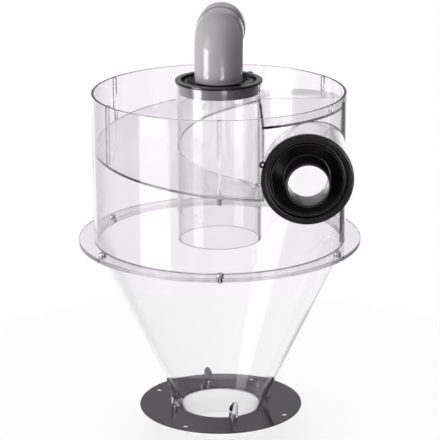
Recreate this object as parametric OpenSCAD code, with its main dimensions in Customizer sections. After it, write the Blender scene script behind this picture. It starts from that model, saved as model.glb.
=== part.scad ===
// Cyclone dust separator: a clear barrel and cone on a base plate, with a tangential inlet under a
// helical roof, a central outlet tube, a stub reducer at each port and a bend on the outlet.
// The origin is on the barrel's axis at the dust spigot's lower rim. +Z is up, the inlet mouth faces -Y.

/* [Barrel] */
// Outside diameter of the barrel
barrel_od = 300; // [290:1:330]
// Height of the barrel above its flange
barrel_h = 177; // [165:1:220]
// Sheet thickness of every clear wall
wall = 3; // [2.5:0.1:3.5]

/* [Flanged joint] */
// Width of both flanges past the barrel's outside
flange_w = 18.5; // [17:0.5:30]
// Thickness of each flange ring
flange_t = 2.5; // [2:0.1:4]
// Distance of the flange screws' centres from the flanges' rim
flange_screw_edge = 11; // [8:0.5:12]
// Thread diameter of the flange screws
flange_screw_d = 5; // [4:0.1:5.5]
// Height of a flange screw's head
flange_head_h = 3.2; // [2.5:0.1:4]
// Height of the nut under the flanges
flange_nut_h = 3; // [2.4:0.1:5]

/* [Cone] */
// Height of the cone from the base plate to the flanges
cone_h = 210; // [180:1:260]
// Outside diameter of the cone at its foot
cone_foot_od = 102; // [90:1:104]

/* [Base plate] */
// Outside diameter of the base plate
plate_od = 198; // [190:1:230]
// Thickness of the base plate
plate_t = 1.5; // [1.5:0.1:4]
// Diameter of the circle of fixing holes
plate_pcd = 175; // [165:1:180]
// Diameter of a fixing hole
plate_hole_d = 7; // [4:0.1:8]
// Length of the dust spigot below the plate
spigot_drop = 29.5; // [15:0.5:60]
// Relief of the spigot's outside below the plate, where a sleeve slides on
spigot_relief = 0.6; // [0.5:0.1:1]

/* [Foot bosses] */
// Diameter of a screw boss at the cone's foot
boss_d = 11; // [9:0.1:11]
// Thread diameter of the foot screws
foot_screw_d = 3.5; // [3:0.1:4]
// Reach of a foot screw into its boss
foot_screw_grip = 6; // [4:0.1:7]
// Depth of a foot screw's countersunk head in the plate
foot_head_h = 1.3; // [1:0.1:1.5]

/* [Outlet tube] */
// Outside diameter of the central outlet tube
tube_od = 100; // [90:1:104]
// Height of the tube's upper end above the barrel's rim
tube_rise = 11; // [6:0.5:20]
// Length of the outlet tube
tube_len = 191; // [150:0.5:200]

/* [Inlet] */
// Outside diameter of the tangential inlet pipe
inlet_od = 100; // [90:1:100]
// Depth of the inlet axis below the barrel's rim
inlet_drop = 61; // [55:1:70]
// Distance of the inlet pipe's mouth from the barrel's axis
inlet_reach = 172; // [165:0.5:200]
// Fall of the helical ramp in one turn
ramp_fall = 104; // [90:1:110]

/* [Ribs] */
// Width of a wall rib
rib_w = 4; // [2:0.1:5]
// Depth of a wall rib
rib_depth = 3; // [2:0.1:10]

/* [Reducers] */
// Outside diameter of the stub in a reducer
stub_od = 50; // [45:0.5:50]
// Wall of the stub
stub_wall = 2.5; // [2:0.1:3.5]
// Length of the stub in front of the lip
stub_reach = 24; // [18:0.5:30]
// Overhang of the lip past the pipe's outside
lip_over = 1.5; // [1:0.1:3]
// Thickness of the lip
lip_t = 3; // [2:0.1:4]
// Depth of the sleeve and its web behind the lip's face
sleeve_depth = 13; // [10:0.5:18]
// Wall of the sleeve
sleeve_wall = 2.8; // [2:0.1:4]
// Thickness of the web between sleeve and stub
web_t = 2.5; // [2:0.1:4]
// Diameter of the tether lug on the lip
lug_d = 7; // [6:0.1:9]
// Diameter of the hole in the tether lug
lug_hole_d = 3; // [2:0.1:4]

/* [Outlet bend] */
// Outside diameter of the outlet bend
bend_od = 57; // [56:0.5:62]
// Inside diameter of the bend past its sockets
bend_bore_d = 47; // [42:0.5:48]
// Radius of the bend's centre line
bend_r = 17; // [16:0.5:22]
// Height of the bend's level leg above the reducer's lip
bend_rise = 49; // [48:1:70]
// Depth of the bend's foot below the lip's face
bend_sink = 1.5; // [0:0.5:8]
// Distance from the barrel's axis to the end of the bend's body
bend_reach = 42; // [38:1:60]
// Length of the socket ring past the body
socket_len = 30; // [20:1:45]
// Outside diameter of the socket ring
socket_od = 58.4; // [58:0.1:66]
// Width of the groove between body and socket ring
groove_w = 1; // [0.5:0.1:2]
// Depth of that groove
groove_d = 1.4; // [0.5:0.1:1.8]
// Turn of the bend about the barrel's axis
bend_turn = 3; // [0:1:10]

/* [Hidden] */
$fn = 128;

// Clearance between bonded or pushed-in round walls
seat = 0.2;
// Radial clearance of the stub in the bend's socket
socket_fit = 0.3;
// Radial clearance of a screw in its hole
screw_fit = 0.25;
// Extra length of a cutting tool past the face that it cuts
over = 1;
// Number of ribs and flange screws round the barrel
rib_count = 6;
// Number of bosses, foot screws and fixing holes round the plate
foot_count = 4;
// Azimuth of the first foot boss, from -Y towards +X
boss_az = 15.5;
// Azimuth of the first fixing hole in the base plate
hole_az = 61.3;
// Direction of the tether lug on each reducer, in the reducer's own frame
outlet_lug_az = 45;
inlet_lug_az = 161;
// Sides of the bend's section in its quarter turn
turn_sides = 48;
// How far the flats of that section stand outside the legs
turn_swell = 0.01;
// Steps of the helix along the wall and along its end at the step plate
helix_steps = 72;
helix_end_steps = 12;

barrel_r = barrel_od / 2;
barrel_ir = barrel_r - wall;
tube_r = tube_od / 2;
inlet_r = inlet_od / 2;
cone_foot_r = cone_foot_od / 2;
cone_slope = (barrel_r - cone_foot_r) / cone_h;
cone_wall = wall * sqrt(1 + cone_slope * cone_slope);
// How far the cone's foot laps onto the plate past the hole
plate_lap = 1;
plate_bore_r = cone_foot_r - plate_lap;
spigot_neck_r = plate_bore_r - seat;
spigot_r = spigot_neck_r - spigot_relief;
boss_r = boss_d / 2;
boss_ring_r = cone_foot_r + boss_r + 0.5;
flange_r = barrel_r + flange_w;
flange_ring_r = flange_r - flange_screw_edge;
lip_chamfer = lip_t / 3;
socket_bore_r = stub_od / 2 + socket_fit;

plate_z = spigot_drop;
cone_z = plate_z + plate_t;
cone_flange_z = cone_z + cone_h;
barrel_flange_z = cone_flange_z + flange_t;
barrel_z = barrel_flange_z + flange_t;
rim_z = barrel_z + barrel_h;
tube_top_z = rim_z + tube_rise;
lip_z = tube_top_z + lip_t;
bend_z = lip_z + bend_rise;
inlet_x = barrel_ir - inlet_r;
inlet_z = rim_z - inlet_drop;
roof_z = inlet_z + inlet_r;

// The step plate carries on the inlet pipe's inner side wall
step_x = inlet_x - inlet_r;
ramp_r = barrel_ir - seat;
// A helix chord dips towards the tube, so the inner edge is let out by one half step
helix_in_r = (tube_r + seat) / cos(180 / helix_steps);
helix_stop_x = step_x - seat;
// Width of the ramp's tip, where the tube closes on the step plate
helix_tip_w = 3;
helix_meet_az = 360 + asin(helix_stop_x / ramp_r);
// The ramp ends where its tip meets the tube, or under its own start if the step plate clears the tube
helix_end_az = 360 + asin(min(1, helix_stop_x / (helix_in_r + helix_tip_w)));

function ramp_z(az) = roof_z - ramp_fall * (az - 90) / 360;
function helix_out_r(az) = az <= helix_meet_az ? ramp_r : helix_stop_x / sin(az - 360);
function at_az(r, az, z) = [r * sin(az), -r * cos(az), z];
function helix_ring(az) = [
    at_az(helix_in_r, az, ramp_z(az) + wall / 2),
    at_az(helix_out_r(az), az, ramp_z(az) + wall / 2),
    at_az(helix_out_r(az), az, ramp_z(az) - wall / 2),
    at_az(helix_in_r, az, ramp_z(az) - wall / 2)];
helix_az = concat(
    [for (k = [0:helix_steps]) 90 + k * (helix_meet_az - 90) / helix_steps],
    [for (k = [1:helix_end_steps])
        helix_meet_az + k * (helix_end_az - helix_meet_az) / helix_end_steps]);

module clear_plastic() { color([0.84, 0.86, 0.92, 0.45]) children(); }
module black_plastic() { color([0.07, 0.07, 0.08]) children(); }
module grey_plastic() { color([0.56, 0.56, 0.58]) children(); }
module steel() { color([0.72, 0.73, 0.75]) children(); }

// Places its children on a circle, turned so that +X points outwards
module on_circle(r, az, z) { rotate([0, 0, az - 90]) translate([r, 0, z]) children(); }

module ring(r_out, r_in, h) {
    difference() {
        cylinder(r = r_out, h = h);
        translate([0, 0, -over]) cylinder(r = r_in, h = h + 2 * over);
    }
}

module inlet_bore(r, from_y, to_y) {
    translate([inlet_x, to_y, inlet_z]) rotate([90, 0, 0]) cylinder(r = r, h = to_y - from_y);
}

module barrel_shell() {
    clear_plastic() difference() {
        translate([0, 0, barrel_z]) ring(barrel_r, barrel_ir, barrel_h);
        inlet_bore(inlet_r - wall, -barrel_od, 0);
    }
}

module flange(z) {
    clear_plastic() difference() {
        translate([0, 0, z]) ring(flange_r, barrel_ir, flange_t);
        for (i = [0:rib_count - 1]) on_circle(flange_ring_r, i * 360 / rib_count, z - over)
            cylinder(d = flange_screw_d + 2 * screw_fit, h = flange_t + 2 * over);
    }
}

module inlet_pipe() {
    clear_plastic() difference() {
        inlet_bore(inlet_r, -inlet_reach, 0);
        inlet_bore(inlet_r - wall, -inlet_reach - over, over);
        translate([0, 0, inlet_z - inlet_od])
            cylinder(r = barrel_r + seat, h = 2 * inlet_od);
    }
}

module ramp_roof() {
    clear_plastic() translate([0, 0, roof_z - wall / 2]) linear_extrude(wall) difference() {
        intersection() {
            circle(r = ramp_r);
            translate([step_x, -barrel_od]) square([barrel_od, barrel_od]);
        }
        circle(r = tube_r + seat);
    }
}

module ramp_helix() {
    last = len(helix_az) - 1;
    clear_plastic() polyhedron(
        points = [for (az = helix_az) each helix_ring(az)],
        faces = concat(
            [[0, 1, 2], [0, 2, 3]],
            [for (i = [0:last - 1], k = [0:3])
                [4 * i + k, 4 * i + 4 + k, 4 * i + 4 + (k + 1) % 4]],
            [for (i = [0:last - 1], k = [0:3])
                [4 * i + k, 4 * i + 4 + (k + 1) % 4, 4 * i + (k + 1) % 4]],
            [[4 * last, 4 * last + 2, 4 * last + 1], [4 * last, 4 * last + 3, 4 * last + 2]]));
}

// The plate's lower edge follows the ramp's underside from the barrel wall to the outlet tube
module step_plate() {
    edge_az = [for (k = [0:helix_end_steps])
        helix_meet_az + k * (helix_end_az - helix_meet_az) / helix_end_steps];
    lower = [for (az = edge_az) [-step_x / tan(az - 360), ramp_z(az) - wall / 2]];
    outline = concat([[-barrel_r, lower[0][1]]], lower,
        [[lower[helix_end_steps][0], roof_z - wall / 2], [-barrel_r, roof_z - wall / 2]]);
    clear_plastic() difference() {
        intersection() {
            translate([step_x, 0, 0]) rotate([90, 0, 90]) linear_extrude(wall) polygon(outline);
            cylinder(r = ramp_r, h = rim_z);
        }
        cylinder(r = tube_r + seat, h = rim_z);
    }
}

// A rib stands on the roof or on the ramp's top, which is highest at its up-ramp side
function rib_az(i) = i == 0 ? 360 : i * 360 / rib_count;
function rib_foot_z(az) =
    (az < 90 ? roof_z : ramp_z(az - asin(rib_w / ramp_r))) + wall / 2;

module rib(i) {
    foot_z = rib_foot_z(rib_az(i));
    clear_plastic() on_circle(ramp_r, rib_az(i), foot_z)
        translate([-rib_depth, -rib_w / 2, 0]) cube([rib_depth, rib_w, rim_z - foot_z]);
}

module vortex_tube() {
    clear_plastic() translate([0, 0, tube_top_z - tube_len]) ring(tube_r, tube_r - wall, tube_len);
}

// Reducer with its axis on Z, the lip's face at z = 0 and the stub pointing up
module reducer(pipe_r, lug_az) {
    sleeve_r = pipe_r - wall - seat;
    bowl_r = sleeve_r - sleeve_wall;
    stub_r = stub_od / 2;
    lip_r = pipe_r + lip_over;
    black_plastic() difference() {
        union() {
            rotate_extrude() polygon([
                [stub_r - stub_wall, -sleeve_depth],
                [sleeve_r, -sleeve_depth],
                [sleeve_r, -lip_t],
                [lip_r, -lip_t],
                [lip_r, -lip_chamfer],
                [lip_r - lip_chamfer, 0],
                [bowl_r + lip_t, 0],
                [bowl_r, -lip_t],
                [bowl_r, -sleeve_depth + web_t],
                [stub_r, -sleeve_depth + web_t],
                [stub_r, stub_reach],
                [stub_r - stub_wall, stub_reach]]);
            rotate([0, 0, lug_az]) translate([lip_r, 0, -lip_t]) cylinder(d = lug_d, h = lip_t);
        }
        rotate([0, 0, lug_az]) translate([lip_r + lug_hole_d / 4, 0, -lip_t - over])
            cylinder(d = lug_hole_d, h = lip_t + 2 * over);
    }
}

module outlet_reducer() { translate([0, 0, lip_z]) reducer(tube_r, outlet_lug_az); }

module inlet_reducer() {
    translate([inlet_x, -inlet_reach - lip_t, inlet_z]) rotate([90, 0, 0])
        reducer(inlet_r, inlet_lug_az);
}

// Level leg of the bend along +Y, with its axis at bend_z
module level_leg(r, from_y, length) {
    translate([0, from_y, bend_z]) rotate([-90, 0, 0]) cylinder(r = r, h = length);
}

// Outline of the bend's section, cut off where it would cross the axis that it turns about.
// Its flats stand just outside the round legs, so that the legs end inside it.
function turn_outline(leg_r) =
    let (r = (leg_r + turn_swell) / cos(180 / turn_sides), half = r > bend_r ? acos(-bend_r / r) : 180)
    [for (k = [0:turn_sides]) let (a = half * (2 * k / turn_sides - 1))
        [max(0, bend_r + r * cos(a)), r * sin(a)]];

// Quarter turn from the upright leg to the level leg
module quarter_turn(r) {
    translate([0, bend_r, bend_z - bend_r]) rotate([90, 0, -90])
        rotate_extrude(angle = 90) polygon(turn_outline(r));
}

module bend_run(r, foot_z) {
    translate([0, 0, foot_z]) cylinder(r = r, h = bend_z - bend_r - foot_z);
    quarter_turn(r);
    level_leg(r, bend_r, bend_reach - bend_r);
}

module outlet_elbow() {
    foot_z = lip_z - bend_sink;
    socket_top_z = lip_z + stub_reach;
    grey_plastic() rotate([0, 0, -bend_turn]) difference() {
        bend_run(bend_od / 2, foot_z);
        bend_run(bend_bore_d / 2, foot_z - over);
        level_leg(bend_bore_d / 2, bend_r, bend_reach);
        translate([0, 0, foot_z - over])
            cylinder(r = socket_bore_r, h = socket_top_z - foot_z + over);
    }
}

module elbow_socket() {
    grey_plastic() rotate([0, 0, -bend_turn]) difference() {
        union() {
            level_leg(bend_od / 2 - groove_d, bend_reach, groove_w + over);
            level_leg(socket_od / 2, bend_reach + groove_w, socket_len - groove_w);
        }
        level_leg(socket_bore_r, bend_reach - over, socket_len + 2 * over);
    }
}

module cone_shell() {
    clear_plastic() translate([0, 0, cone_z]) rotate_extrude() polygon([
        [cone_foot_r - cone_wall, 0],
        [cone_foot_r, 0],
        [barrel_r, cone_h],
        [barrel_r - cone_wall, cone_h]]);
}

// Hardware modules stand at z = 0 on the face that carries the head
module flange_screw() {
    head_r = 0.88 * flange_screw_d;
    tip = 1.2;
    steel() {
        rotate_extrude() polygon([
            [0, -2 * flange_t - flange_nut_h - tip],
            [flange_screw_d / 2 - 0.5, -2 * flange_t - flange_nut_h - tip],
            [flange_screw_d / 2, -2 * flange_t - flange_nut_h - tip + 0.5],
            [flange_screw_d / 2, 0],
            [head_r, 0],
            [head_r, 0.55 * flange_head_h],
            [0.8 * head_r, 0.9 * flange_head_h],
            [0.45 * head_r, flange_head_h],
            [0, flange_head_h]]);
        translate([0, 0, -2 * flange_t - flange_nut_h])
            cylinder(r = 0.92 * flange_screw_d, h = flange_nut_h, $fn = 6);
    }
}

module foot_boss() {
    clear_plastic() difference() {
        on_circle(boss_ring_r, boss_az, cone_z) cylinder(r = boss_r, h = cone_h / 2);
        translate([0, 0, cone_z]) rotate_extrude() polygon([
            [0, -over],
            [cone_foot_r + 1.5 * seat - over * cone_slope, -over],
            [barrel_r + 1.5 * seat, cone_h],
            [0, cone_h]]);
        on_circle(boss_ring_r, boss_az, cone_z - over)
            cylinder(d = foot_screw_d + 2 * screw_fit, h = foot_screw_grip + over + 0.5);
    }
}

// Countersunk head that lies flush with the plate's underside, let out by a clearance
module screw_cone(fit) {
    cylinder(r1 = foot_screw_d + fit, r2 = foot_screw_d / 2 + fit, h = foot_head_h);
}

module foot_screw() {
    steel() on_circle(boss_ring_r, boss_az, plate_z) {
        cylinder(d = foot_screw_d, h = plate_t + foot_screw_grip);
        screw_cone(0);
    }
}

module base_plate() {
    color([0.2, 0.19, 0.2]) difference() {
        translate([0, 0, plate_z]) ring(plate_od / 2, plate_bore_r, plate_t);
        for (i = [0:foot_count - 1]) {
            on_circle(plate_pcd / 2, hole_az + i * 360 / foot_count, plate_z - over)
                cylinder(d = plate_hole_d, h = plate_t + 2 * over);
            on_circle(boss_ring_r, boss_az + i * 360 / foot_count, plate_z) {
                screw_cone(screw_fit);
                translate([0, 0, -over])
                    cylinder(d = foot_screw_d + 2 * screw_fit, h = plate_t + 2 * over);
            }
        }
    }
}

module outlet_spigot() {
    clear_plastic() difference() {
        union() {
            cylinder(r = spigot_r, h = plate_z);
            translate([0, 0, plate_z]) cylinder(r = spigot_neck_r, h = plate_t);
        }
        translate([0, 0, -over]) cylinder(r = spigot_neck_r - wall, h = cone_z + 2 * over);
    }
}

barrel_shell();
flange(barrel_flange_z);  // barrel_flange
inlet_pipe();
ramp_roof();
ramp_helix();
step_plate();
for (i = [0:rib_count - 1]) rib(i);
vortex_tube();
outlet_reducer();
inlet_reducer();
outlet_elbow();
elbow_socket();
cone_shell();
flange(cone_flange_z);  // cone_flange
for (i = [0:rib_count - 1]) on_circle(flange_ring_r, i * 360 / rib_count, barrel_z) flange_screw();
for (i = [0:foot_count - 1]) rotate([0, 0, i * 360 / foot_count]) foot_boss();
for (i = [0:foot_count - 1]) rotate([0, 0, i * 360 / foot_count]) foot_screw();
base_plate();
outlet_spigot();
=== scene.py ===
"""Looks of a clear cyclone dust separator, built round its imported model."""

import logging
import math
from dataclasses import dataclass
from enum import Enum
from typing import Callable, Iterable, Mapping, Sequence, Union

import bmesh
import bpy
from mathutils import Matrix, Vector


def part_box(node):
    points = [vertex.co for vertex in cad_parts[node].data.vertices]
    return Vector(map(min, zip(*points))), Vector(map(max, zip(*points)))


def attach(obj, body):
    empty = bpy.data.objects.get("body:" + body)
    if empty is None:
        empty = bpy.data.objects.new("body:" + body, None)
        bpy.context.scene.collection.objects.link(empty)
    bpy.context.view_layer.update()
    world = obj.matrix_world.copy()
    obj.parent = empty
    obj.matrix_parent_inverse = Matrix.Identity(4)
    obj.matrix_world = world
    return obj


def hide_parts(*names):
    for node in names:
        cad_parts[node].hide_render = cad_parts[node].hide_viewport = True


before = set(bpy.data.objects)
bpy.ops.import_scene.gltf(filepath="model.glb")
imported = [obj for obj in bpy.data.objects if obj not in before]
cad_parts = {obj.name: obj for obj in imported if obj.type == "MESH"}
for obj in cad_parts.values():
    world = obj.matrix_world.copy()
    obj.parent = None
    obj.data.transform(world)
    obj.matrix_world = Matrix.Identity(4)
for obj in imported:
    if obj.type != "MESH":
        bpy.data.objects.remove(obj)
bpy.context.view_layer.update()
LOG = logging.getLogger("separator")

Point = tuple[float, float]
Marker = Callable[[Vector, Vector], bool]
Vert, Edge = bmesh.types.BMVert, bmesh.types.BMEdge
Object = bpy.types.Object
MM = 0.001
# face mark: sawn ends of clear sheet, the socket's seam, and the reducer sleeve that gets a painted sheen
MARKED = "sawn_ends_seam_and_painted_sheen"
SHARP = math.radians(32)


class Slot(Enum):
    """The record's material slots."""

    CLEAR = "clear_sheet"
    BLACK = "black_moulding"
    GREY = "grey_pipe"
    PLATE = "dark_plate"
    STEEL = "screw_steel"


class Axis(Enum):
    """The direction that a turned piece's own +Z takes in the separator."""

    UP = Matrix.Identity(4)
    TO_FRONT = Matrix.Rotation(math.pi / 2, 4, "X")
    TO_BACK = Matrix.Rotation(-math.pi / 2, 4, "X")


# ---------------------------------------------------------------- shader trees


Term = Union["Value", float]


class Value:
    """A shader socket that takes part in Python arithmetic."""

    def __init__(self, shader: "Shader", socket: bpy.types.NodeSocket) -> None:
        """Wraps an output socket of a tree."""
        self.shader = shader
        self.socket = socket

    def _math(self, operation: str, *operands: Term) -> "Value":
        """The result of a new Math node."""
        return self.shader.out(self.shader.node("ShaderNodeMath", {"operation": operation},
                                                dict(enumerate(operands))))

    def __add__(self, other: Term) -> "Value":
        """self + other."""
        return self._math("ADD", self, other)

    def __radd__(self, other: float) -> "Value":
        """other + self."""
        return self._math("ADD", other, self)

    def __sub__(self, other: Term) -> "Value":
        """self - other."""
        return self._math("SUBTRACT", self, other)

    def __rsub__(self, other: float) -> "Value":
        """other - self."""
        return self._math("SUBTRACT", other, self)

    def __mul__(self, other: Term) -> "Value":
        """self * other."""
        return self._math("MULTIPLY", self, other)

    def __rmul__(self, other: float) -> "Value":
        """other * self."""
        return self._math("MULTIPLY", other, self)

    def size(self) -> "Value":
        """The value without its sign."""
        return self._math("ABSOLUTE", self)

    def arcsine(self) -> "Value":
        """The angle whose sine this is."""
        return self._math("ARCSINE", self)

    def angle_from(self, along: "Value") -> "Value":
        """The angle of the point (along, self)."""
        return self._math("ARCTAN2", self, along)

    def above(self, level: float, width: float) -> "Value":
        """A soft step: 0 under the level, rising to 1 over the width."""
        return self.shader.out(self.shader.node("ShaderNodeMapRange", {"clamp": True}, {
            "Value": self, "From Min": level, "From Max": level + width}))


Feed = Union[Value, float, Sequence[float]]


class Shader:
    """A node tree of a material or of the world, cleared and ready to fill."""

    def __init__(self, owner: Union[bpy.types.Material, bpy.types.World]) -> None:
        """Clears the owner's tree.

        Args:
            owner: the material or world whose tree it is.
        """
        owner.use_nodes = True
        self.tree = owner.node_tree
        self.tree.nodes.clear()

    def node(self, kind: str, settings: Mapping[str, object] | None = None,
             inputs: Mapping[Union[str, int], Feed] | None = None) -> bpy.types.Node:
        """Adds a node.

        Args:
            kind: the node's type name.
            settings: properties, set before the inputs.
            inputs: values or links, by socket identifier, name or place.

        Returns:
            The new node.
        """
        node = self.tree.nodes.new(kind)
        for name, value in (settings or {}).items():
            setattr(node, name, value)
        for key, feed in (inputs or {}).items():
            socket = {socket.identifier: socket for socket in node.inputs}.get(key) or node.inputs[key]
            if isinstance(feed, Value):
                self.tree.links.new(feed.socket, socket)
            else:
                socket.default_value = feed
        return node

    def out(self, node: bpy.types.Node, name: Union[str, int] = 0) -> Value:
        """An output of a node as a Value."""
        return Value(self, node.outputs[name])

    def made(self, kind: str, inputs: Mapping[Union[str, int], Feed]) -> Value:
        """The first output of a new node that has inputs alone."""
        return self.out(self.node(kind, {}, inputs))

    def place(self) -> Value:
        """The point on the piece, in its own coordinates."""
        return self.out(self.node("ShaderNodeTexCoord"), "Object")

    def stretched(self, scale: Sequence[float]) -> Value:
        """The point on the piece, with its coordinates multiplied by the scale."""
        return self.made("ShaderNodeMapping", {"Vector": self.place(), "Scale": scale})

    def noise(self, scale: float, detail: float = 3.0, at: Value | None = None) -> Value:
        """Smooth noise from 0 to 1, with its scale in cells for each metre and its detail in octaves."""
        return self.made("ShaderNodeTexNoise",
                         {"Vector": at or self.place(), "Scale": scale, "Detail": detail})

    def blend(self, share: Feed, first: Feed, second: Feed) -> Value:
        """The first colour, with a share of the second mixed in."""
        return self.out(self.node("ShaderNodeMix", {"data_type": "RGBA"}, {
            "Factor_Float": share, "A_Color": first, "B_Color": second}), 2)

    def bump(self, height: Value, depth: float, strength: float = 1.0) -> Value:
        """The normal over a height from 0 to 1 that stands for the depth in metres."""
        return self.made("ShaderNodeBump", {"Height": height, "Distance": depth, "Strength": strength})

    def marked(self) -> Value:
        """1 on the faces that a piece marks, such as a sheet's sawn ends or a sleeve that gets a painted
        sheen, otherwise 0.
        """
        return self.out(self.node("ShaderNodeAttribute", {"attribute_name": MARKED}), "Fac")

    def light_path(self, ray: str) -> Value:
        """1 for rays of that kind, otherwise 0."""
        return self.out(self.node("ShaderNodeLightPath"), ray)

    def mixed(self, share: Feed, first: Value, second: Value) -> Value:
        """The first shader, with a share of the second mixed in."""
        return self.made("ShaderNodeMixShader", {0: share, 1: first, 2: second})

    def seen(self) -> Value:
        """1 for rays of the eye and for those seen in gloss and through clear parts, otherwise 0."""
        unseen = 1.0 - self.light_path("Is Camera Ray")
        for ray in ("Is Glossy Ray", "Is Transmission Ray"):
            unseen = unseen * (1.0 - self.light_path(ray))
        return 1.0 - unseen

    def added(self, first: Value, second: Value) -> Value:
        """The light of two shaders together."""
        return self.made("ShaderNodeAddShader", {0: first, 1: second})

    def finish(self, kind: str, surface: Value, volume: Value | None = None) -> None:
        """Links the output node.

        Args:
            kind: the output node's type name.
            surface: the surface shader.
            volume: the volume shader, if there is one.
        """
        inputs: dict[Union[str, int], Feed] = {"Surface": surface}
        if volume is not None:
            inputs["Volume"] = volume
        self.node(kind, {}, inputs)


Colour = tuple[float, float, float, float]


def grey(level: float, warmth: float = 0.0) -> Colour:
    """A grey, with red raised and blue lowered by the warmth."""
    return (level + warmth, level, level - warmth, 1.0)


WHITE: Colour = (1.0, 1.0, 1.0, 1.0)


@dataclass(frozen=True)
class Finish:
    """A finish of the separator."""

    name: str
    slot: Slot

    def surface(self, shader: Shader) -> Value:
        """Makes the finish's surface in a tree and returns its shader."""
        raise NotImplementedError

    def depth(self, shader: Shader) -> Value | None:
        """Makes what fills the finish's body, or None where it is opaque."""
        return None

    def material(self) -> bpy.types.Material:
        """Builds the material."""
        made = bpy.data.materials.new(self.name)
        shader = Shader(made)
        shader.finish("ShaderNodeOutputMaterial", self.surface(shader), self.depth(shader))
        return made


@dataclass(frozen=True)
class ClearSheet(Finish):
    """Clear cast sheet, faintly lavender through its depth."""

    name: str = "clear cast sheet"
    slot: Slot = Slot.CLEAR
    refraction: float = 1.49
    depth_colour: Colour = (0.87, 0.85, 0.88, 1.0)
    density: float = 36.0
    shade: Colour = (0.93, 0.93, 0.95, 1.0)
    haze: float = 0.012
    wear: float = 0.03
    sawn: float = 0.45

    def surface(self, shader: Shader) -> Value:
        """Clear, with faint wiping marks and sawn ends, and a light shadow.

        Args:
            shader: the material's tree.

        Returns:
            The surface.
        """
        wiped = shader.noise(9.0, 4.0, shader.stretched((1.0, 1.0, 3.0))).above(0.5, 0.35)
        glass = shader.made("ShaderNodeBsdfPrincipled", {
            "Base Color": WHITE,
            "Roughness": self.haze + wiped * self.wear + shader.marked() * self.sawn,
            "IOR": self.refraction,
            "Transmission Weight": 1.0,
            "Normal": shader.bump(shader.noise(14.0, 1.0), 0.0004, 0.25)})
        lit = shader.made("ShaderNodeBsdfTransparent", {"Color": self.shade})
        return shader.mixed(shader.light_path("Is Shadow Ray"), glass, lit)

    def depth(self, shader: Shader) -> Value:
        """A tint that grows with depth."""
        return shader.made("ShaderNodeVolumeAbsorption",
                           {"Color": self.depth_colour, "Density": self.density})


@dataclass(frozen=True)
class BlackMoulding(Finish):
    """Black moulded plastic with a satin skin."""

    name: str = "black moulded plastic"
    slot: Slot = Slot.BLACK
    skin: Colour = (0.007, 0.006, 0.007, 1.0)
    rubbed: Colour = (0.012, 0.011, 0.012, 1.0)
    # painted sheen: lighter grey on the sleeve's outside, standing in for reflections seen through the clear
    # tube
    painted_sleeve_sheen: Colour = (0.2, 0.188, 0.205, 1.0)
    haze: float = 0.15
    wear: float = 0.08
    refraction: float = 1.55

    def surface(self, shader: Shader) -> Value:
        """Satin black with slight rubbing; the pressed-in sleeve's outside gets a lighter grey, a painted
        sheen for the reflections seen over it through the clear tube.

        Args:
            shader: the material's tree.

        Returns:
            The surface.
        """
        rubbed = shader.noise(45.0, 5.0).above(0.5, 0.3)
        black = shader.blend(rubbed, self.skin, self.rubbed)
        return shader.made("ShaderNodeBsdfPrincipled", {
            # painted sheen: the marked sleeve faces take the lighter grey
            "Base Color": shader.blend(shader.marked(), black, self.painted_sleeve_sheen),
            "Roughness": self.haze + rubbed * self.wear,
            "IOR": self.refraction,
            "Normal": shader.bump(shader.noise(2600.0, 2.0), 0.00002, 0.5)})


@dataclass(frozen=True)
class GreyPipe(Finish):
    """Smooth grey drain-pipe plastic."""

    name: str = "grey pipe plastic"
    slot: Slot = Slot.GREY
    dark: Colour = (0.415, 0.405, 0.43, 1.0)
    pale: Colour = (0.465, 0.455, 0.48, 1.0)
    seam: Colour = grey(0.03)
    haze: float = 0.09
    wear: float = 0.12
    refraction: float = 1.52

    def surface(self, shader: Shader) -> Value:
        """Smooth grey, faint flow marks and scuffs, dark in the socket's seam.

        Args:
            shader: the material's tree.

        Returns:
            The surface.
        """
        flow = shader.noise(30.0, 3.0, shader.stretched((1.0, 1.0, 0.3)))
        scuffs = shader.noise(160.0, 6.0, shader.stretched((1.0, 1.0, 0.15))).above(0.62, 0.12)
        return shader.made("ShaderNodeBsdfPrincipled", {
            "Base Color": shader.blend(shader.marked(), shader.blend(flow, self.dark, self.pale), self.seam),
            "Roughness": self.haze + scuffs * self.wear,
            "IOR": self.refraction,
            "Normal": shader.bump(shader.noise(220.0, 2.0), 0.00006, 0.35)})


@dataclass(frozen=True)
class DarkPlate(Finish):
    """Polished near-black sheet."""

    name: str = "polished dark sheet"
    slot: Slot = Slot.PLATE
    sheet: Colour = (0.042, 0.035, 0.039, 1.0)
    dust: Colour = grey(0.22)
    dusty: float = 0.2
    haze: float = 0.04
    wear: float = 0.05
    refraction: float = 1.49

    def surface(self, shader: Shader) -> Value:
        """Polished dark sheet with dust and fine wiping marks.

        Args:
            shader: the material's tree.

        Returns:
            The surface.
        """
        wiped = shader.noise(60.0, 4.0, shader.stretched((1.0, 0.25, 1.0))).above(0.5, 0.3)
        dust = shader.noise(900.0, 2.0).above(0.72, 0.08)
        return shader.made("ShaderNodeBsdfPrincipled", {
            "Base Color": shader.blend(dust * self.dusty, self.sheet, self.dust),
            "Roughness": self.haze + wiped * self.wear,
            "IOR": self.refraction,
            "Normal": shader.bump(shader.noise(18.0, 1.0), 0.0002, 0.2)})


@dataclass(frozen=True)
class ScrewSteel(Finish):
    """Bright zinc-plated steel."""

    name: str = "bright plated steel"
    slot: Slot = Slot.STEEL
    dull: Colour = grey(0.62, 0.01)
    bright: Colour = grey(0.78, -0.01)
    haze: float = 0.16
    wear: float = 0.16

    def surface(self, shader: Shader) -> Value:
        """Bright metal with a mottled plating."""
        mottle = shader.noise(700.0, 4.0)
        return shader.made("ShaderNodeBsdfPrincipled", {
            "Base Color": shader.blend(mottle, self.dull, self.bright),
            "Metallic": 1.0,
            "Roughness": self.haze + mottle * self.wear})


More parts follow.
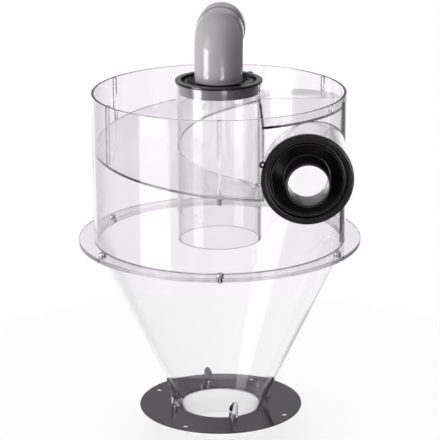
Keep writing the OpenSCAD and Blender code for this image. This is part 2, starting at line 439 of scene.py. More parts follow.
FINISHES = {finish.slot: finish.material()
            for finish in (ClearSheet(), BlackMoulding(), GreyPipe(), DarkPlate(), ScrewSteel())}


# ---------------------------------------------------------------- measuring and shaping


@dataclass(frozen=True)
class Measured:
    """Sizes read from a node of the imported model."""

    node: str

    @property
    def low(self) -> Vector:
        """The node's lowest corner."""
        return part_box(self.node)[0]

    @property
    def high(self) -> Vector:
        """The node's highest corner."""
        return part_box(self.node)[1]

    @property
    def height(self) -> float:
        """How high the node is from its foot to its top."""
        return self.high.z - self.low.z

    @property
    def level(self) -> float:
        """The height at which the node's middle lies."""
        return (self.high.z + self.low.z) / 2

    @property
    def corners(self) -> list[Vector]:
        """The node's mesh points."""
        return [v.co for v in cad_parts[self.node].data.vertices]

    def radii_at(self, z: float, within: float = 0.2 * MM) -> list[float]:
        """Distances from the Z axis of the corners near a height, the smallest first."""
        return sorted(math.hypot(c.x, c.y) for c in self.corners if abs(c.z - z) < within)


def chamfered(corners: Sequence[Point], cut: float) -> list[Point]:
    """Cuts every corner of a closed outline.

    Args:
        corners: the outline's corners in order.
        cut: how far from each corner the cut starts.

    Returns:
        The outline with two points for each corner.
    """
    points: list[Point] = []
    for i, corner in enumerate(corners):
        here = Vector(corner)
        for other in (Vector(corners[i - 1]), Vector(corners[(i + 1) % len(corners)])):
            side = other - here
            points.append(tuple(here + side.normalized() * min(cut, side.length / 3)))
    return points


def rounded(corners: Sequence[Point], radii: Mapping[int, float], steps: int = 6) -> list[Point]:
    """Rounds chosen corners of a closed outline with arcs.

    Args:
        corners: the outline's corners in order.
        radii: the radius for each corner that is rounded, by its place in the outline.
        steps: how many chords an arc has.

    Returns:
        The outline with its arcs.
    """
    points: list[Point] = []
    for i, corner in enumerate(corners):
        here = Vector(corner)
        if i not in radii:
            points.append(tuple(here))
            continue
        back = (Vector(corners[i - 1]) - here).normalized()
        ahead = (Vector(corners[(i + 1) % len(corners)]) - here).normalized()
        half = math.acos(max(-1.0, min(1.0, back.dot(ahead)))) / 2
        reach = radii[i] / math.tan(half)
        centre = here + (back + ahead).normalized() * (radii[i] / math.sin(half))
        start = here + back * reach - centre
        turn = start.angle_signed(here + ahead * reach - centre)
        for k in range(steps + 1):
            arm = Matrix.Rotation(-turn * k / steps, 2) @ start
            points.append(tuple(centre + arm))
    return points


class Shape:
    """A mesh under work."""

    def __init__(self) -> None:
        """Starts an empty mesh."""
        self.bm = bmesh.new()

    def lathe(self, outline: Sequence[Point], segments: int = 192) -> "Shape":
        """Turns a closed outline of (radius, height) once round Z.

        Args:
            outline: the section's points in order.
            segments: steps round the turn.

        Returns:
            This shape.
        """
        corners = [self.bm.verts.new((r, 0.0, z)) for r, z in outline]
        edges = [self.bm.edges.new((a, b)) for a, b in zip(corners, corners[1:] + corners[:1])]
        bmesh.ops.spin(self.bm, geom=corners + edges, cent=(0, 0, 0), axis=(0, 0, 1),
                       angle=2 * math.pi, steps=segments, use_merge=True)
        return self.clean()

    def prism(self, sides: int, radius: float, low: float, high: float,
              top_radius: float | None = None) -> "Shape":
        """Adds an upright prism or cone on the Z axis, with its radii taken over the corners."""
        bmesh.ops.create_cone(self.bm, cap_ends=True, segments=sides, radius1=radius,
                              radius2=radius if top_radius is None else top_radius,
                              depth=high - low, matrix=Matrix.Translation((0, 0, (low + high) / 2)))
        return self

    def block(self, low: Sequence[float], high: Sequence[float]) -> "Shape":
        """Adds a block.

        Args:
            low: its lowest corner.
            high: its highest corner.

        Returns:
            This shape.
        """
        size = Vector(high) - Vector(low)
        middle = (Vector(high) + Vector(low)) / 2
        bmesh.ops.create_cube(self.bm, size=1.0,
                              matrix=Matrix.Translation(middle) @ Matrix.Diagonal((*size, 1.0)))
        return self

    def soften(self, width: float, segments: int = 2, least: float = 30.0) -> "Shape":
        """Bevels every edge that turns by more than an angle.

        Args:
            width: the bevel's width.
            segments: its steps.
            least: the angle in degrees.

        Returns:
            This shape.
        """
        sharp = [e for e in self.bm.edges if len(e.link_faces) == 2
                 and e.calc_face_angle(0.0) > math.radians(least)]
        bmesh.ops.bevel(self.bm, geom=sharp, offset=width, offset_type="OFFSET", segments=segments,
                        profile=0.5, affect="EDGES", clamp_overlap=True, material=-1)
        return self

    def clean(self) -> "Shape":
        """Merges doubles and turns every face outwards."""
        bmesh.ops.remove_doubles(self.bm, verts=self.bm.verts[:], dist=1e-7)
        bmesh.ops.recalc_face_normals(self.bm, faces=self.bm.faces[:])
        return self

    def moved(self, matrix: Matrix) -> "Shape":
        """Moves the whole mesh."""
        bmesh.ops.transform(self.bm, matrix=matrix, verts=self.bm.verts[:])
        return self

    def joined(self, other: "Shape") -> "Shape":
        """Takes another shape's mesh over as a loose part.

        Args:
            other: the shape, which is used up.

        Returns:
            This shape.
        """
        carrier = bpy.data.meshes.new("carrier")
        other.bm.to_mesh(carrier)
        other.bm.free()
        self.bm.from_mesh(carrier)
        bpy.data.meshes.remove(carrier)
        return self

    def piece(self, name: str, *nodes: str, slot: Slot, cutters: Iterable["Shape"] = (),
              marks: Marker | None = None) -> Object:
        """Makes the finished piece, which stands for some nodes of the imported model.

        Args:
            name: the piece's name.
            nodes: the nodes that it stands for.
            slot: its finish.
            cutters: shapes taken away from it.
            marks: tells from a face's centre and normal whether it is marked.

        Returns:
            The piece, riding on the one body.
        """
        made = self.loose(name)
        for cutter in cutters:
            subtract(made, cutter)
        for polygon in made.data.polygons:
            polygon.use_smooth = True
        if marks is not None:
            values = [float(marks(p.center, p.normal)) for p in made.data.polygons]
            made.data.attributes.new(MARKED, "FLOAT", "FACE").data.foreach_set("value", values)
        made.data.set_sharp_from_angle(angle=SHARP)
        coat(made.data, slot)
        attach(made, "root")
        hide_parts(*nodes)
        LOG.info("%s: %d faces", name, len(made.data.polygons))
        return made

    def loose(self, name: str) -> Object:
        """Writes the mesh to a new object and frees the working mesh.

        Args:
            name: the object's name.

        Returns:
            The object.
        """
        mesh = bpy.data.meshes.new(name)
        self.bm.to_mesh(mesh)
        self.bm.free()
        return linked(name, mesh)


def subtract(target: Object, cutter: Shape) -> None:
    """Takes a shape away from an object's mesh.

    Args:
        target: the object that is cut.
        cutter: the shape that is taken away.
    """
    tool = cutter.loose("cutter")
    modifier = target.modifiers.new("cut", "BOOLEAN")
    modifier.operation = "DIFFERENCE"
    modifier.solver = "EXACT"
    modifier.object = tool
    bpy.context.view_layer.update()
    done = bpy.data.meshes.new_from_object(target.evaluated_get(bpy.context.evaluated_depsgraph_get()))
    target.modifiers.clear()
    old = target.data
    target.data = done
    done.name = target.name
    bpy.data.meshes.remove(old)
    bpy.data.objects.remove(tool)


def turned(degrees: float) -> Matrix:
    """A turn round the Z axis."""
    return Matrix.Rotation(math.radians(degrees), 4, "Z")


def on_circle(radius: float, azimuth: float, z: float) -> Matrix:
    """A place on a circle, at degrees from -Y towards +X, with its +X pointing outwards."""
    return turned(azimuth - 90) @ Matrix.Translation((radius, 0, z))


def cross(half_length: float, half_width: float, low: float, high: float, place: Matrix,
          azimuth: float) -> list[Shape]:
    """Two crossed blocks between two heights, turned by an azimuth, that cut a screw's recess."""
    return [Shape().block((-half_length, -half_width, low), (half_length, half_width, high))
            .moved(place @ turned(turn + azimuth)) for turn in (0.0, 90.0)]


def only(parts: Iterable, *kinds: type) -> list:
    """Those parts of a mesh step's result that are of some kinds."""
    return [part for part in parts if isinstance(part, kinds)]


def coat(mesh: bpy.types.Mesh, slot: Slot) -> None:
    """Gives a mesh one finish in place of all that it has."""
    mesh.materials.clear()
    mesh.materials.append(FINISHES[slot])


def linked(name: str, data: bpy.types.ID) -> Object:
    """Makes an object and puts it in the scene.

    Args:
        name: the object's name.
        data: what it shows.

    Returns:
        The object.
    """
    made = bpy.data.objects.new(name, data)
    bpy.context.scene.collection.objects.link(made)
    return made


# ---------------------------------------------------------------- sub-assemblies


@dataclass
class Barrel:
    """The barrel, its inlet pipe and the ribs on its inner wall."""

    bond: float = 0.02 * MM
    seam: float = 0.15 * MM
    edge: float = 0.35 * MM
    rib_count: int = 6

    def __post_init__(self) -> None:
        """Reads the barrel's and the pipe's sizes."""
        shell, pipe = Measured("barrel_shell"), Measured("inlet_pipe")
        self.foot, self.rim = shell.low.z, shell.high.z
        self.radius = shell.high.x
        self.inner = self.radius - Measured("ramp_roof").height
        self.wall = self.radius - self.inner
        self.pipe_z = pipe.level
        self.pipe_r = pipe.height / 2
        self.pipe_x = self.inner - self.pipe_r
        self.mouth = pipe.low.y

    def along_pipe(self, shape: Shape) -> Shape:
        """Turns a shape built on +Z so that it lies on the pipe's axis and points to the front."""
        return shape.moved(Matrix.Translation((self.pipe_x, 0, self.pipe_z)) @ Axis.TO_FRONT.value)

    def shell(self) -> Object:
        """Builds the barrel with its inlet opening."""
        foot = self.foot - self.bond
        outline = [(self.inner, foot), (self.radius, foot), (self.radius, self.rim - self.edge),
                   (self.radius - self.edge, self.rim), (self.inner + self.edge, self.rim),
                   (self.inner, self.rim - self.edge)]
        bore = Shape().prism(128, self.pipe_r - self.wall, 0.0, 2 * self.radius)
        return Shape().lathe(outline, 240).piece(
            "barrel", "barrel_shell", slot=Slot.CLEAR, cutters=[self.along_pipe(bore)],
            marks=lambda centre, normal: normal.z > 0.5)

    def pipe(self) -> Object:
        """Builds the inlet pipe, whose root follows the barrel's wall."""
        root = 1.0 * MM
        outline = [(self.pipe_r - self.wall, root), (self.pipe_r - self.wall, -self.mouth),
                   (self.pipe_r, -self.mouth), (self.pipe_r, root)]
        shape = self.along_pipe(Shape().lathe(outline, 160))
        reach = self.radius + self.seam
        for vert in shape.bm.verts:
            if vert.co.y > self.mouth / 2:
                vert.co.y = -math.sqrt(max(reach ** 2 - vert.co.x ** 2, 0.0))
        return shape.piece("inlet_tube", "inlet_pipe", slot=Slot.CLEAR,
                           marks=lambda centre, normal: normal.y < -0.9)

    def rib(self, number: int) -> Object:
        """Builds one rib, bonded to the wall, from its node's box.

        Args:
            number: the rib's number from 1.

        Returns:
            The rib.
        """
        node = f"rib_{number}"
        box = Measured(node)
        azimuth = (number - 1) * 360 / self.rib_count
        back = turned(90 - azimuth)
        corners = [back @ corner for corner in box.corners]
        low = Vector(min(c[k] for c in corners) for k in range(3))
        high = Vector(max(c[k] for c in corners) for k in range(3))
        outer = math.sqrt(self.inner ** 2 - low.y ** 2) + self.bond
        shape = Shape().block((low.x, low.y, box.low.z + self.seam), (outer, high.y, high.z))
        shape.soften(0.25 * MM)
        return shape.moved(back.inverted()).piece(f"wall_rib_{number}", node, slot=Slot.CLEAR,
                                                  marks=lambda centre, normal: normal.z > 0.9)

    def build(self) -> None:
        """Builds every piece of the barrel."""
        self.shell()
        self.pipe()
        for number in range(1, self.rib_count + 1):
            self.rib(number)


@dataclass
class HelicalRoof:
    """The roof sheet that winds down round the outlet tube."""

    steps: int = 260
    seam: float = 0.2 * MM
    tip: float = 3.0 * MM
    trimmed_from: float = 0.72

    def __post_init__(self) -> None:
        """Reads the roof's, the tube's and the step plate's sizes."""
        roof, tube, step = Measured("ramp_roof"), Measured("vortex_tube"), Measured("step_plate")
        self.wall, self.top = roof.height, roof.level
        self.outer = Measured("barrel_shell").high.x - self.wall - self.seam
        self.inner = tube.high.x + self.seam
        self.stop_x = step.low.x - self.seam
        self.turned = 270 + math.degrees(math.asin(self.stop_x / (self.inner + self.tip)))
        self.fall = self.top - self.wall / 2 - Measured("ramp_helix").low.z

    def sheet(self) -> Object:
        """Builds the winding sheet: a radial edge spun and lowered, then trimmed at the step plate."""
        shape = Shape()
        step = self.turned / self.steps
        inner = self.inner / math.cos(math.radians(step / 2))
        ends = [shape.bm.verts.new((r, self.seam, self.top)) for r in (inner, self.outer)]
        edge = shape.bm.edges.new(ends)
        bmesh.ops.subdivide_edges(shape.bm, edges=[edge], cuts=7)
        line = shape.bm.verts[:] + shape.bm.edges[:]
        bmesh.ops.spin(shape.bm, geom=line, cent=(0, 0, 0), axis=(0, 0, 1),
                       dvec=(0, 0, -self.fall / self.steps), angle=math.radians(self.turned),
                       steps=self.steps, use_duplicate=False)
        near_end = [f for f in shape.bm.faces if f.calc_center_median().x > 0
                    and f.calc_center_median().z < self.top - self.fall * self.trimmed_from]
        trim = {g for f in near_end for g in (*f.verts, *f.edges, f)}
        bmesh.ops.bisect_plane(shape.bm, geom=list(trim), plane_co=(self.stop_x, 0, 0),
                               plane_no=(1, 0, 0), clear_outer=True)
        bmesh.ops.solidify(shape.bm, geom=shape.bm.faces[:], thickness=self.wall)
        shape.clean()
        middle = (min(v.co.z for v in shape.bm.verts) + max(v.co.z for v in shape.bm.verts)) / 2
        shape.moved(Matrix.Translation((0, 0, self.top - self.fall / 2 - middle)))
        rim = self.inner + 0.2 * MM
        return shape.piece("winding_roof", "ramp_helix", slot=Slot.CLEAR,
                           marks=lambda centre, normal: math.hypot(centre.x, centre.y) < rim)

    def build(self) -> None:
        """Builds the winding sheet and dresses the flat roof and the step plate."""
        self.sheet()
        for node in ("ramp_roof", "step_plate"):
            coat(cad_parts[node].data, Slot.CLEAR)
            LOG.info("%s: dressed", node)


@dataclass
class OutletTube:
    """The central outlet tube."""

    edge: float = 0.35 * MM

    def build(self) -> None:
        """Builds the tube."""
        box = Measured("vortex_tube")
        wall, outer = Measured("ramp_roof").height, box.high.x
        outline = chamfered([(outer - wall, box.low.z), (outer, box.low.z), (outer, box.high.z),
                             (outer - wall, box.high.z)], self.edge)
        Shape().lathe(outline, 192).piece("outlet_tube", "vortex_tube", slot=Slot.CLEAR,
                                          marks=lambda centre, normal: normal.z > 0.9)


@dataclass
class Reducer:
    """A black reducer: a lip on the pipe's end, a bowl behind it and a stub out of the bowl."""

    node: str
    axis: Axis
    centre: Vector
    lug_azimuth: float
    lip_t: float = 3.0 * MM
    sleeve_depth: float = 13.0 * MM
    skirt: float = 2.5 * MM
    skirt_t: float = 1.8 * MM
    bowl_r: float = 44.7 * MM
    dish_r: float = 39.3 * MM
    dish_z: float = -2.0 * MM
    groove_z: float = -5.0 * MM
    web_t: float = 2.5 * MM
    stub_r: float = 25.0 * MM
    stub_wall: float = 2.5 * MM
    stub_reach: float = 24.0 * MM
    lip_r: float = 51.5 * MM
    sleeve_r: float = 46.8 * MM
    lug_r: float = 3.8 * MM
    lug_hole_r: float = 1.5 * MM

    def outline(self) -> list[Point]:
        """The reducer's section: lip, groove, dish and stub in front, web and skirted sleeve behind."""
        floor = -self.sleeve_depth + self.web_t
        skirt = -self.sleeve_depth - self.skirt
        corners = [
            (self.stub_r - self.stub_wall, -self.sleeve_depth),
            (self.sleeve_r - self.skirt_t, -self.sleeve_depth),
            (self.sleeve_r - self.skirt_t, skirt),
            (self.sleeve_r, skirt),
            (self.sleeve_r, -self.lip_t),
            (self.lip_r, -self.lip_t),
            (self.lip_r, 0.0),
            (self.bowl_r, 0.0),
            (self.bowl_r - 0.8 * MM, self.groove_z),
            (self.dish_r + 1.4 * MM, self.groove_z),
            (self.dish_r + 0.8 * MM, self.dish_z),
            (self.dish_r, self.dish_z),
            (self.stub_r + 2.0 * MM, floor),
            (self.stub_r, floor),
            (self.stub_r - 0.25 * MM, self.stub_reach),
            (self.stub_r - self.stub_wall, self.stub_reach),
        ]
        soft, fine, groove, dish, mouth = 0.6 * MM, 0.5 * MM, 0.8 * MM, 0.35 * MM, 0.9 * MM
        return rounded(corners, {0: soft, 2: fine, 3: fine, 5: fine, 6: soft, 7: fine, 8: groove,
                                 9: groove, 10: dish, 11: dish, 12: soft, 13: soft, 14: mouth, 15: soft}, 5)

    def build(self) -> None:
        """Builds the reducer with its tether lug."""
        place = Matrix.Translation(self.centre) @ self.axis.value
        lug = turned(self.lug_azimuth) @ Matrix.Translation((self.lip_r, 0, 0))
        shape = Shape().lathe(self.outline(), 160)
        ear = Shape().lathe(chamfered([(self.lug_hole_r, -self.lip_t), (self.lug_r, -self.lip_t),
                                       (self.lug_r, 0), (self.lug_hole_r, 0)], 0.4 * MM), 40)
        ear.moved(Matrix.Translation((self.lug_hole_r / 2, 0, 0)))
        ear.moved(lug)
        shape.joined(ear).moved(place)
        back = place.inverted()

        def on_sleeve(centre: Vector, normal: Vector) -> bool:
            """Whether a face lies on the sleeve's outside, which gets a painted sheen."""
            local = back @ centre
            return local.z < -self.lip_t and local.xy.length > self.sleeve_r - 0.2 * MM

        # the marked sleeve faces carry the painted sheen
        shape.piece(self.node.replace("_reducer", "_stub_ring"), self.node, slot=Slot.BLACK,
                    marks=on_sleeve)


@dataclass
class Bend:
    """The grey bend on the outlet stub, with the socket ring behind its groove."""

    radius: float = 28.5 * MM
    bore: float = 23.5 * MM
    turn_r: float = 17.0 * MM
    reach: float = 42.0 * MM
    socket_len: float = 30.0 * MM
    socket_bore: float = 25.3 * MM
    groove: float = 1.0 * MM
    groove_depth: float = 1.4 * MM
    turned: float = 3.0
    steps: int = 24
    sides: int = 96

    def __post_init__(self) -> None:
        """Reads the bend's heights."""
        body, ring = Measured("outlet_elbow"), Measured("elbow_socket")
        self.foot = body.low.z
        self.stub_end = Measured("outlet_reducer").high.z
        self.level, self.socket_r = ring.level, ring.height / 2

    def skin(self, shape: Shape, radius: float, foot_z: float) -> tuple[list[Edge], list[Edge]]:
        """Adds one round skin that rises, turns to the back and runs level.

        Args:
            shape: the mesh that it is added to.
            radius: the skin's radius.
            foot_z: the height of its foot.

        Returns:
            The edges of its foot and of its far end.
        """
        bm = shape.bm
        corner = self.level - self.turn_r
        ring = bmesh.ops.create_circle(bm, segments=self.sides, radius=radius,
                                       matrix=Matrix.Translation((0, 0, foot_z)))["verts"]
        foot = list({e for v in ring for e in v.link_edges})
        risen = bmesh.ops.extrude_edge_only(bm, edges=foot)["geom"]
        bmesh.ops.translate(bm, vec=(0, 0, corner - foot_z), verts=only(risen, Vert))
        before = set(bm.verts)
        spun = bmesh.ops.spin(bm, geom=only(risen, Vert, Edge), cent=(0, self.turn_r, corner), axis=(1, 0, 0),
                              angle=-math.pi / 2, steps=self.steps, use_duplicate=False)["geom_last"]
        self.mitre([v for v in bm.verts if v not in before], corner)
        level = bmesh.ops.extrude_edge_only(bm, edges=only(spun, Edge))["geom"]
        bmesh.ops.translate(bm, vec=(0, self.reach - self.turn_r, 0), verts=only(level, Vert))
        return foot, only(level, Edge)

    def mitre(self, verts: Iterable[Vert], corner: float) -> None:
        """Draws the points inside the turn's own axis out to where the two straight legs meet.

        Args:
            verts: the turn's points.
            corner: the height of the turn's axis.
        """
        for vert in verts:
            out, down = vert.co.y - self.turn_r, corner - vert.co.z
            if out < -1e-7 or down < -1e-7:
                continue
            far, angle = math.hypot(out, down), math.atan2(down, out)
            if angle <= math.pi / 4:
                vert.co.y, vert.co.z = self.turn_r + far, corner - far * math.tan(angle)
            else:
                vert.co.y, vert.co.z = self.turn_r + far * math.tan(math.pi / 2 - angle), corner - far

    def body(self) -> Object:
        """Builds the bend's body as two skins joined at both ends, the inner one with the stub's socket."""
        shape = Shape()
        outer_foot, outer_end = self.skin(shape, self.radius, self.foot)
        inner_foot, inner_end = self.skin(shape, self.bore, self.stub_end)
        shoulder = self.drawn(shape, inner_foot, self.socket_bore / self.bore, 0.0)
        socket_foot = self.drawn(shape, shoulder, 1.0, self.foot - self.stub_end)
        bmesh.ops.bridge_loops(shape.bm, edges=outer_foot + socket_foot)
        bmesh.ops.bridge_loops(shape.bm, edges=outer_end + inner_end)
        shape.clean()
        shape.moved(turned(-self.turned))
        return shape.piece("bend_body", "outlet_elbow", slot=Slot.GREY)

    @staticmethod
    def drawn(shape: Shape, edges: list[Edge], spread: float, rise: float) -> list[Edge]:
        """Draws a ring of edges on by one step.

        Args:
            shape: the mesh that holds them.
            edges: the ring.
            spread: how many times wider the new ring is.
            rise: how much higher it lies.

        Returns:
            The new ring.
        """
        made = bmesh.ops.extrude_edge_only(shape.bm, edges=edges)["geom"]
        bmesh.ops.scale(shape.bm, vec=(spread, spread, 1.0), verts=only(made, Vert))
        bmesh.ops.translate(shape.bm, vec=(0, 0, rise), verts=only(made, Vert))
        return only(made, Edge)

    def socket(self) -> Object:
        """Builds the socket ring with the groove in front of it."""
        end = self.reach + self.socket_len
        neck = self.radius - self.groove_depth
        corners = [(self.socket_bore, self.reach), (neck, self.reach), (neck, self.reach + self.groove),
                   (self.socket_r, self.reach + self.groove), (self.socket_r, end), (self.socket_bore, end)]
        outline = rounded(corners, {3: 0.7 * MM, 4: 1.2 * MM, 5: 1.0 * MM}, 4)
        place = turned(-self.turned) @ Matrix.Translation((0, 0, self.level)) @ Axis.TO_BACK.value
        back, seam = place.inverted(), self.reach + self.groove + 0.1 * MM
        return Shape().lathe(outline, 128).moved(place).piece(
            "bend_socket", "elbow_socket", slot=Slot.GREY,
            marks=lambda centre, normal: (back @ centre).z < seam)

    def build(self) -> None:
        """Builds the body and the socket ring."""
        self.body()
        self.socket()


@dataclass
class Cone:
    """The cone with its flange and the barrel's flange."""

    seam: float = 0.15 * MM
    bond: float = 0.02 * MM
    edge: float = 0.3 * MM
    screw_count: int = 6
    screw_edge: float = 11.0 * MM
    hole_r: float = 2.75 * MM

    def cone(self) -> Object:
        """Builds the cone from the radii of its node's two ends."""
        box = Measured("cone_shell")
        foot, top = box.radii_at(box.low.z), box.radii_at(box.high.z)
        outline = [(foot[0], box.low.z + self.seam), (foot[-1], box.low.z + self.seam),
                   (top[-1], box.high.z + self.bond), (top[0], box.high.z + self.bond)]
        return Shape().lathe(outline, 240).piece("cone", "cone_shell", slot=Slot.CLEAR)

    def ring(self, node: str, name: str) -> Object:
        """Builds one flange ring with its screw holes.

        Args:
            node: the ring's node.
            name: the piece's name.

        Returns:
            The ring.
        """
        box = Measured(node)
        inner = box.radii_at(box.high.z)[0]
        under = box.low.z - self.bond
        outline = [(inner, under), (box.high.x - self.edge, under),
                   (box.high.x, box.low.z + self.edge), (box.high.x, box.high.z - self.edge),
                   (box.high.x - self.edge, box.high.z), (inner, box.high.z)]
        holes = [Shape().prism(40, self.hole_r, -MM, box.height + MM).moved(
            on_circle(box.high.x - self.screw_edge, i * 360 / self.screw_count, box.low.z))
            for i in range(self.screw_count)]
        return Shape().lathe(outline, 240).piece(name, node, slot=Slot.CLEAR, cutters=holes)

    def build(self) -> None:
        """Builds the cone and both rings."""
        self.cone()
        self.ring("barrel_flange", "upper_ring")
        self.ring("cone_flange", "lower_ring")


@dataclass
class FlangeScrews:
    """The screws and nuts through both flanges."""

    count: int = 6
    thread_r: float = 2.5 * MM
    head_r: float = 4.4 * MM
    nut_r: float = 4.6 * MM
    nut_h: float = 3.0 * MM
    recess: Point = (2.1 * MM, 0.45 * MM)
    recess_depth: float = 1.5 * MM

    def outline(self, low: float, face: float, top: float) -> list[Point]:
        """The screw's half section from its tip up its outside to the head's crown."""
        dome = [(self.head_r * math.cos(a), face + (top - face) * (0.45 + 0.55 * math.sin(a)))
                for a in (math.radians(9 * k) for k in range(11))]
        return [(0.0, low), (self.thread_r - 0.5 * MM, low), (self.thread_r, low + 0.5 * MM),
                (self.thread_r, face), (self.head_r, face), *dome]

    def build(self) -> None:
        """Builds each screw with its nut."""
        face = Measured("barrel_flange").high.z
        under = Measured("cone_flange").low.z
        ring = Measured("barrel_flange").high.x - Cone.screw_edge
        for number in range(1, self.count + 1):
            box = Measured(f"flange_screw_{number}")
            shape = Shape().lathe(self.outline(box.low.z, face, box.high.z), 40)
            nut = Shape().prism(6, self.nut_r, under - self.nut_h, under).soften(0.35 * MM)
            shape.joined(nut)
            azimuth = (number - 1) * 360 / self.count
            spot = on_circle(ring, azimuth, 0.0)
            recess = cross(*self.recess, box.high.z - self.recess_depth, box.high.z + MM, spot, 20 * number)
            shape.moved(spot).piece(f"ring_screw_{number}", f"flange_screw_{number}", slot=Slot.STEEL,
                                    cutters=recess)


@dataclass
class Foot:
    """The base plate, the dust spigot, the screw bosses and their screws."""

    count: int = 4
    edge: float = 0.25 * MM
    fit: float = 0.25 * MM
    plate_hole_r: float = 3.5 * MM
    plate_ring_r: float = 87.5 * MM
    plate_azimuth: float = 61.3
    boss_azimuth: float = 15.5
    boss_r: float = 5.5 * MM
    screw_r: float = 1.75 * MM
    screw_grip: float = 6.0 * MM
    head_r: float = 3.5 * MM
    head_h: float = 1.3 * MM
    recess: Point = (1.7 * MM, 0.35 * MM)

    def __post_init__(self) -> None:
        """Reads the plate's, the cone's and the spigot's sizes."""
        plate, cone = Measured("base_plate"), Measured("cone_shell")
        self.under, self.top = plate.low.z, plate.high.z
        self.bore = plate.radii_at(self.top)[0]
        self.cone_foot = cone.radii_at(cone.low.z)[-1]
        self.cone_top = cone.high
        self.boss_ring = self.cone_foot + self.boss_r + 0.5 * MM

    def boss_spot(self, number: int) -> Matrix:
        """The place of a boss's axis, at height 0."""
        return on_circle(self.boss_ring, self.boss_azimuth + (number - 1) * 360 / self.count, 0.0)

    def plate(self) -> Object:
        """Builds the plate with its bore, its fixing holes and its countersunk screw holes."""
        outer = Measured("base_plate").high.x
        outline = chamfered([(self.bore, self.under), (outer, self.under), (outer, self.top),
                             (self.bore, self.top)], self.edge)
        holes = []
        for i in range(self.count):
            spot = on_circle(self.plate_ring_r, self.plate_azimuth + i * 360 / self.count, 0.0)
            fixing = Shape().prism(48, self.plate_hole_r, self.under - MM, self.top + MM)
            thread = Shape().prism(32, self.screw_r + self.fit, self.under - MM, self.top + MM)
            sink = Shape().prism(32, self.head_r + self.fit, self.under, self.under + self.head_h,
                                 self.screw_r + self.fit)
            holes += [fixing.moved(spot), thread.moved(self.boss_spot(i + 1)),
                      sink.moved(self.boss_spot(i + 1) @ Matrix.Translation((0, 0, -0.01 * MM)))]
        return Shape().lathe(outline, 192).piece("foot_plate", "base_plate", slot=Slot.PLATE, cutters=holes)

    def spigot(self) -> Object:
        """Builds the dust spigot, whose neck stands in the plate's bore."""
        box = Measured("outlet_spigot")
        inner, neck = (box.radii_at(box.high.z)[k] for k in (0, -1))
        outer = box.radii_at(box.low.z)[-1]
        outline = [(inner + self.edge, box.low.z), (outer - self.edge, box.low.z),
                   (outer, box.low.z + self.edge), (outer, self.under), (neck, self.under),
                   (neck, box.high.z), (inner, box.high.z), (inner, box.low.z + self.edge)]
        return Shape().lathe(outline, 160).piece("dust_spigot", "outlet_spigot", slot=Slot.CLEAR,
                                                 marks=lambda centre, normal: abs(normal.z) > 0.9)

    def boss(self, number: int) -> Object:
        """Builds one boss, a round bar cut to the cone's slope.

        Args:
            number: the boss's number from 1.

        Returns:
            The boss.
        """
        node = f"foot_boss_{number}"
        box = Measured(node)
        bore, depth = self.screw_r + self.fit, self.screw_grip + 0.5 * MM
        outline = [(0.0, self.top + depth), (bore, self.top + depth), (bore, self.top),
                   (self.boss_r - 0.4 * MM, self.top), (self.boss_r, self.top + 0.4 * MM),
                   (self.boss_r, box.high.z + 2 * MM), (0.0, box.high.z + 2 * MM)]
        gap = 0.3 * MM
        cone = Shape().prism(240, self.cone_foot + gap, self.top, self.cone_top.z, self.cone_top.x + gap)
        return Shape().lathe(outline, 48).moved(self.boss_spot(number)).piece(
            f"screw_boss_{number}", node, slot=Slot.CLEAR, cutters=[cone])

    def screw(self, number: int) -> Object:
        """Builds one countersunk foot screw with a cross recess.

        Args:
            number: the screw's number from 1.

        Returns:
            The screw.
        """
        node = f"foot_screw_{number}"
        tip = Measured(node).high.z
        outline = [(0.0, self.under), (self.head_r, self.under), (self.screw_r, self.under + self.head_h),
                   (self.screw_r, tip - 0.6 * MM), (self.screw_r - 0.6 * MM, tip), (0.0, tip)]
        spot = self.boss_spot(number)
        recess = cross(*self.recess, self.under - MM, self.under + MM, spot, 25.0)
        return Shape().lathe(outline, 32).moved(spot).piece(f"plate_screw_{number}", node,
                                                            slot=Slot.STEEL, cutters=recess)

    def build(self) -> None:
        """Builds the plate, the spigot, the bosses and the screws."""
        self.plate()
        self.spigot()
        for number in range(1, self.count + 1):
            self.boss(number)
            self.screw(number)


# ---------------------------------------------------------------- studio


@dataclass(frozen=True)
class LightBox:
    """A distant soft light box, or a black flag where the radiance is negative.

    All angles are in degrees: the azimuth of its middle from -Y towards +X, its half width, its lower
    and upper edge above the horizon, and how softly it fades past its edges.
    """

    azimuth: float
    half_width: float
    low: float
    high: float
    soft: float
    radiance: float

    def glow(self, x: Value, y: Value, z: Value) -> Value:
        """What the box adds to the room's light.

        Args:
            x: the direction's part along X.
            y: the direction's part along Y.
            z: the direction's part along Z.

        Returns:
            The added light.
        """
        a = math.radians(self.azimuth)
        towards = x * math.sin(a) - y * math.cos(a)
        across = x * math.cos(a) + y * math.sin(a)
        turn = across.angle_from(towards)
        height = z.arcsine()
        half, soft = math.radians(self.half_width), math.radians(self.soft)
        inside = (half - turn.size()).above(0.0, soft)
        over = (height - math.radians(self.low)).above(0.0, soft)
        under = (math.radians(self.high) - height).above(0.0, soft)
        return inside * over * under * self.radiance


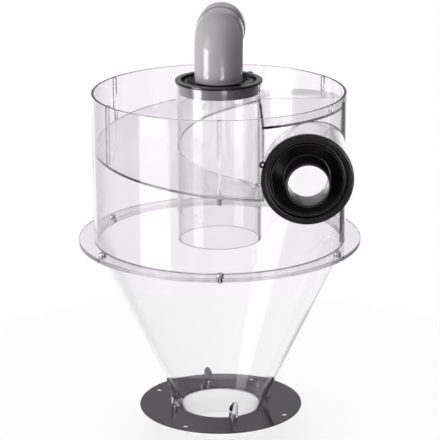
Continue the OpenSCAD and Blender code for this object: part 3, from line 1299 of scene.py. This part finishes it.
@dataclass
class Studio:
    """Camera, floor, light boxes and surroundings."""

    distance: float = 2.303
    over_rim: float = 0.5295
    pitch: float = 16.41
    roll: float = -0.36
    lens: float = 164.2
    shift: Point = (0.001, -0.0182)
    floor_r: float = 0.5
    floor_grey: float = 0.3
    floor_white: float = 0.81
    bounces: int = 64
    room: float = 0.3
    room_tint: Colour = (1.0, 0.985, 1.0, 1.0)
    sheet: LightBox = LightBox(186.0, 24.0, -40.0, 1.0, 6.0, 1.0)
    key: LightBox = LightBox(-62.0, 12.0, -14.2, 6.0, 1.2, 9.0)
    key_glow: LightBox = LightBox(-61.0, 17.0, -22.0, 38.0, 3.0, 2.3)
    spot: LightBox = LightBox(17.0, 10.0, -13.1, -11.4, 0.8, 20.0)
    spot_glow: LightBox = LightBox(17.0, 8.0, -15.5, -11.5, 1.5, 1.5)
    back_wall: LightBox = LightBox(186.0, 24.0, 0.0, 55.0, 6.0, 0.28)
    left_wall: LightBox = LightBox(-125.0, 35.0, -25.0, 30.0, 10.0, 0.35)
    back_flag: LightBox = LightBox(155.0, 16.0, -12.0, 24.0, 5.0, -0.22)
    ceiling: LightBox = LightBox(0.0, 180.0, 50.0, 100.0, 10.0, 0.6)
    right_flag: LightBox = LightBox(80.0, 45.0, -45.0, 40.0, 15.0, -0.2)
    front_fill: LightBox = LightBox(-20.0, 30.0, -5.0, 45.0, 12.0, 0.3)

    def camera(self) -> None:
        """Places the camera in front of the separator, looking down on it."""
        data = bpy.data.cameras.new("view")
        data.sensor_width, data.lens = 36.0, self.lens
        data.shift_x, data.shift_y = self.shift
        data.clip_end = 50.0
        made = linked("view", data)
        made.location = (0, -self.distance, Measured("barrel_shell").high.z + self.over_rim)
        made.rotation_mode = "ZYX"
        made.rotation_euler = (math.radians(90 - self.pitch), 0, math.radians(self.roll))
        bpy.context.scene.camera = made

    def floor(self) -> None:
        """Lays a pale floor that keeps a faint shadow."""
        material = bpy.data.materials.new("pale floor")
        shader = Shader(material)
        paper = shader.made("ShaderNodeBsdfDiffuse", {"Color": grey(self.floor_grey)})
        white = shader.made("ShaderNodeEmission",
                            {"Color": WHITE, "Strength": shader.seen() * self.floor_white})
        shader.finish("ShaderNodeOutputMaterial", shader.added(paper, white))
        disc = Shape()
        bmesh.ops.create_circle(disc.bm, cap_ends=True, segments=96, radius=self.floor_r)
        made = disc.loose("floor")
        made.data.materials.append(material)

    def surroundings(self) -> None:
        """Makes a dim room with soft light boxes and black flags.

        A white sheet stands behind the separator and is seen in gloss and through clear parts too;
        past its edges the eye alone sees plain white.
        """
        world = bpy.data.worlds.new("room")
        bpy.context.scene.world = world
        shader = Shader(world)
        split = shader.node("ShaderNodeSeparateXYZ", {}, {
            "Vector": shader.out(shader.node("ShaderNodeTexCoord"), "Generated")})
        x, y, z = (shader.out(split, axis) for axis in "XYZ")
        level: Union[Value, float] = self.room
        for box in (self.key, self.key_glow, self.spot, self.spot_glow, self.back_wall, self.left_wall,
                    self.back_flag, self.ceiling, self.right_flag, self.front_fill):
            level = level + box.glow(x, y, z)
        sheet = self.sheet.glow(x, y, z) * shader.seen()
        level = level * (1.0 - sheet) + sheet
        eye = shader.light_path("Is Camera Ray")
        strength = level * (1.0 - eye) + eye
        shader.finish("ShaderNodeOutputWorld", shader.made("ShaderNodeBackground", {
            "Color": shader.blend(eye, self.room_tint, WHITE), "Strength": strength}))

    def build(self) -> None:
        """Sets the whole studio."""
        scene = bpy.context.scene
        scene.view_settings.view_transform = "Standard"
        for kind in ("max_bounces", "transmission_bounces", "glossy_bounces", "transparent_max_bounces"):
            setattr(scene.cycles, kind, self.bounces)
        self.camera()
        self.floor()
        self.surroundings()


def main() -> None:
    """Builds every sub-assembly in order, then the studio."""
    logging.basicConfig(level=logging.INFO, format="%(name)s: %(message)s")
    barrel = Barrel()
    lip = Reducer.lip_t
    top = Measured("vortex_tube").high.z
    parts: list = [
        barrel,
        HelicalRoof(),
        OutletTube(),
        Reducer("outlet_reducer", Axis.UP, Vector((0, 0, top + lip)), 45.0),
        Reducer("inlet_reducer", Axis.TO_FRONT,
                Vector((barrel.pipe_x, barrel.mouth - lip, barrel.pipe_z)), 161.0),
        Bend(),
        Cone(),
        FlangeScrews(),
        Foot(),
        Studio(),
    ]
    for part in parts:
        LOG.info("building %s", type(part).__name__)
        part.build()


if __name__ == "__main__":
    main()
